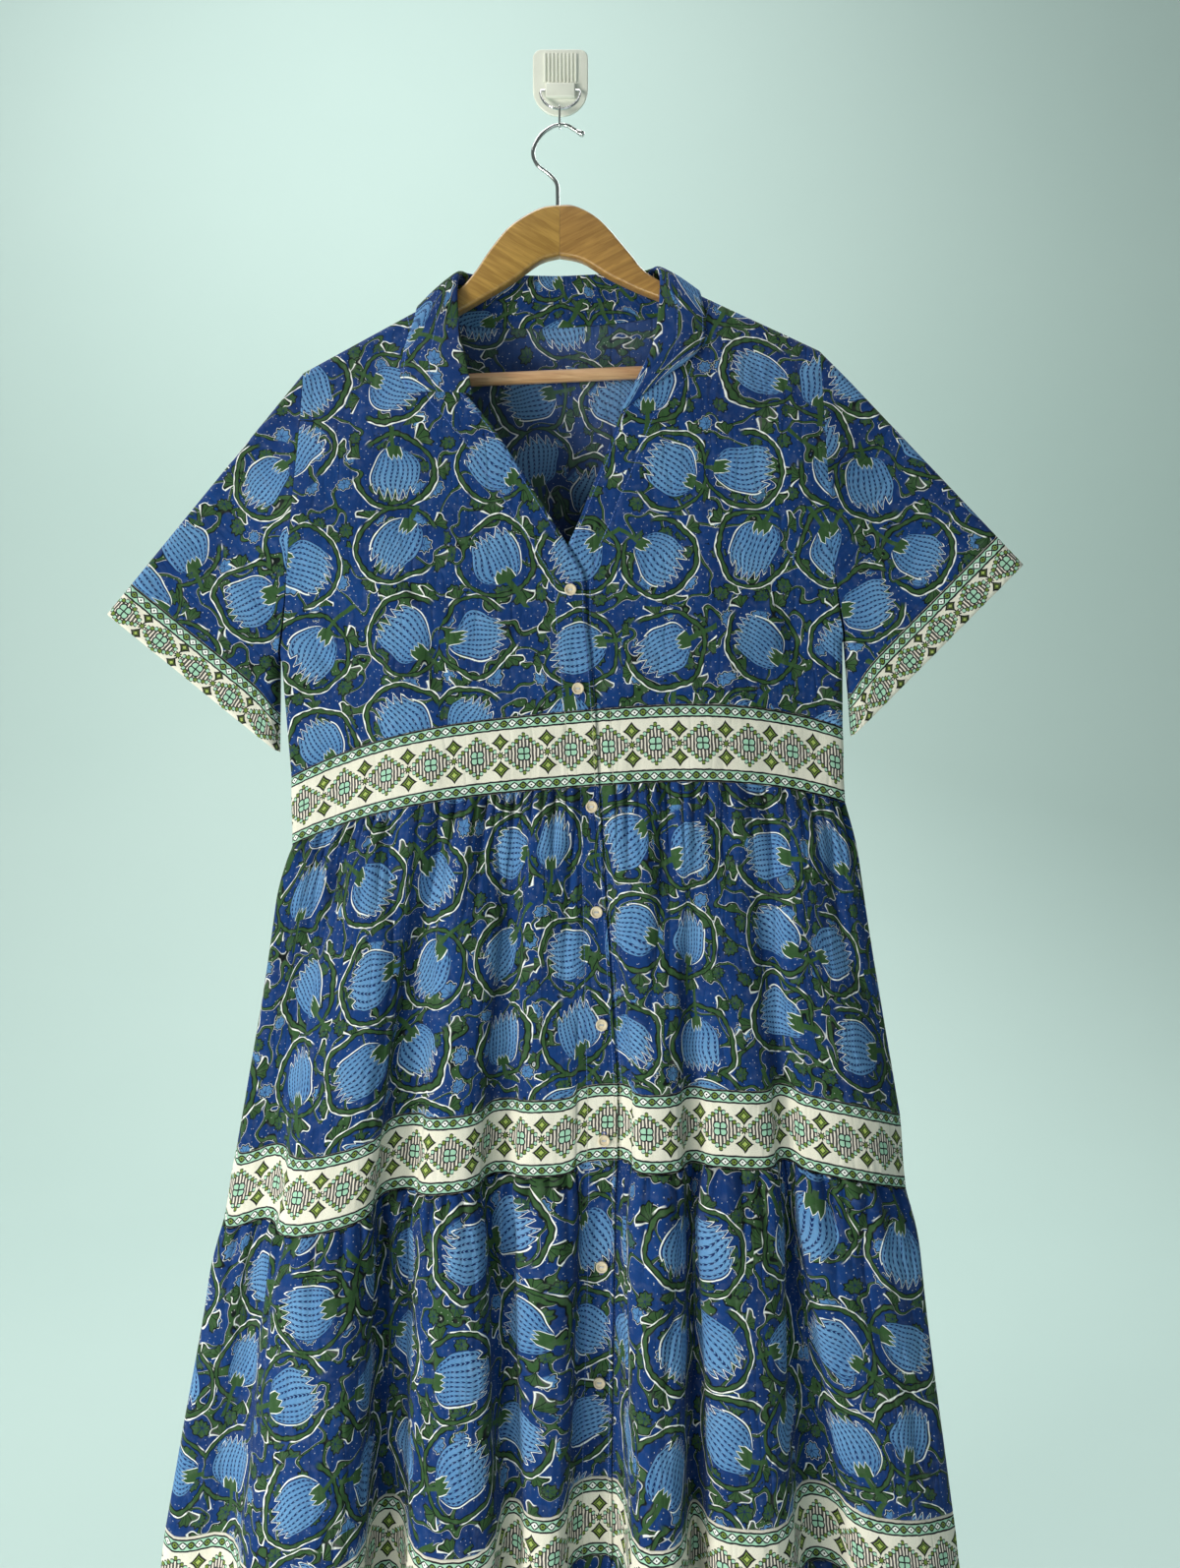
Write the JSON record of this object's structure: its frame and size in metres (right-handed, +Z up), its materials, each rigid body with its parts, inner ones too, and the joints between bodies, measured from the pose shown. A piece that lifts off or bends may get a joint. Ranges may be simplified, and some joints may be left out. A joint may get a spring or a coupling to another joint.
{
  "type": "dress on a clothes hanger and wall hook",
  "caption": "Button-front midi dress with a camp collar, short sleeves, gathered tiers and border strips, on a wooden hanger from an adhesive wall hook.",
  "frame": {"origin": "centre of the wall plate's back face, where the hook is stuck to the wall", "axes": "+Y into the wall and away from the viewer, +Z up, +X to the right as seen from the front, which is the wearer's left"},
  "size_m": [0.8019, 0.1626, 1.5121],
  "materials": {
    "floral_cotton": "matt woven cotton with a flower and vine print",
    "border_cotton": "matt woven cotton with a border print",
    "button_resin": "cream, polished",
    "varnished_wood": "clear gloss varnish",
    "bright_steel": "bright plated wire",
    "white_plastic": "white moulded, satin"
  },
  "bodies": {
    "root": {"bodice_front_right": "floral_cotton", "bodice_front_left": "floral_cotton", "back_yoke": "floral_cotton", "bodice_back": "floral_cotton", "collar": "floral_cotton", "sleeve_right": "floral_cotton", "sleeve_left": "floral_cotton", "tier1_front_right": "floral_cotton", "tier1_front_left": "floral_cotton", "tier1_back": "floral_cotton", "tier2_front_right": "floral_cotton", "tier2_front_left": "floral_cotton", "tier2_back": "floral_cotton", "hem_tier_front_right": "floral_cotton", "hem_tier_front_left": "floral_cotton", "hem_tier_back": "floral_cotton", "sleeve_band_right": "border_cotton", "sleeve_band_left": "border_cotton", "waist_band_front_right": "border_cotton", "waist_band_front_left": "border_cotton", "waist_band_back": "border_cotton", "band2_front_right": "border_cotton", "band2_front_left": "border_cotton", "band2_back": "border_cotton", "band3_front_right": "border_cotton", "band3_front_left": "border_cotton", "band3_back": "border_cotton", "button_1": "button_resin", "button_2": "button_resin", "button_3": "button_resin", "button_4": "button_resin", "button_5": "button_resin", "button_6": "button_resin", "button_7": "button_resin", "button_8": "button_resin", "hanger_arm_right": "varnished_wood", "hanger_arm_left": "varnished_wood", "hanger_bar": "varnished_wood", "hanger_hook": "bright_steel", "wall_ring": "bright_steel", "wall_loop": "bright_steel", "wall_plate": "white_plastic"}
  },
  "joints": []
}
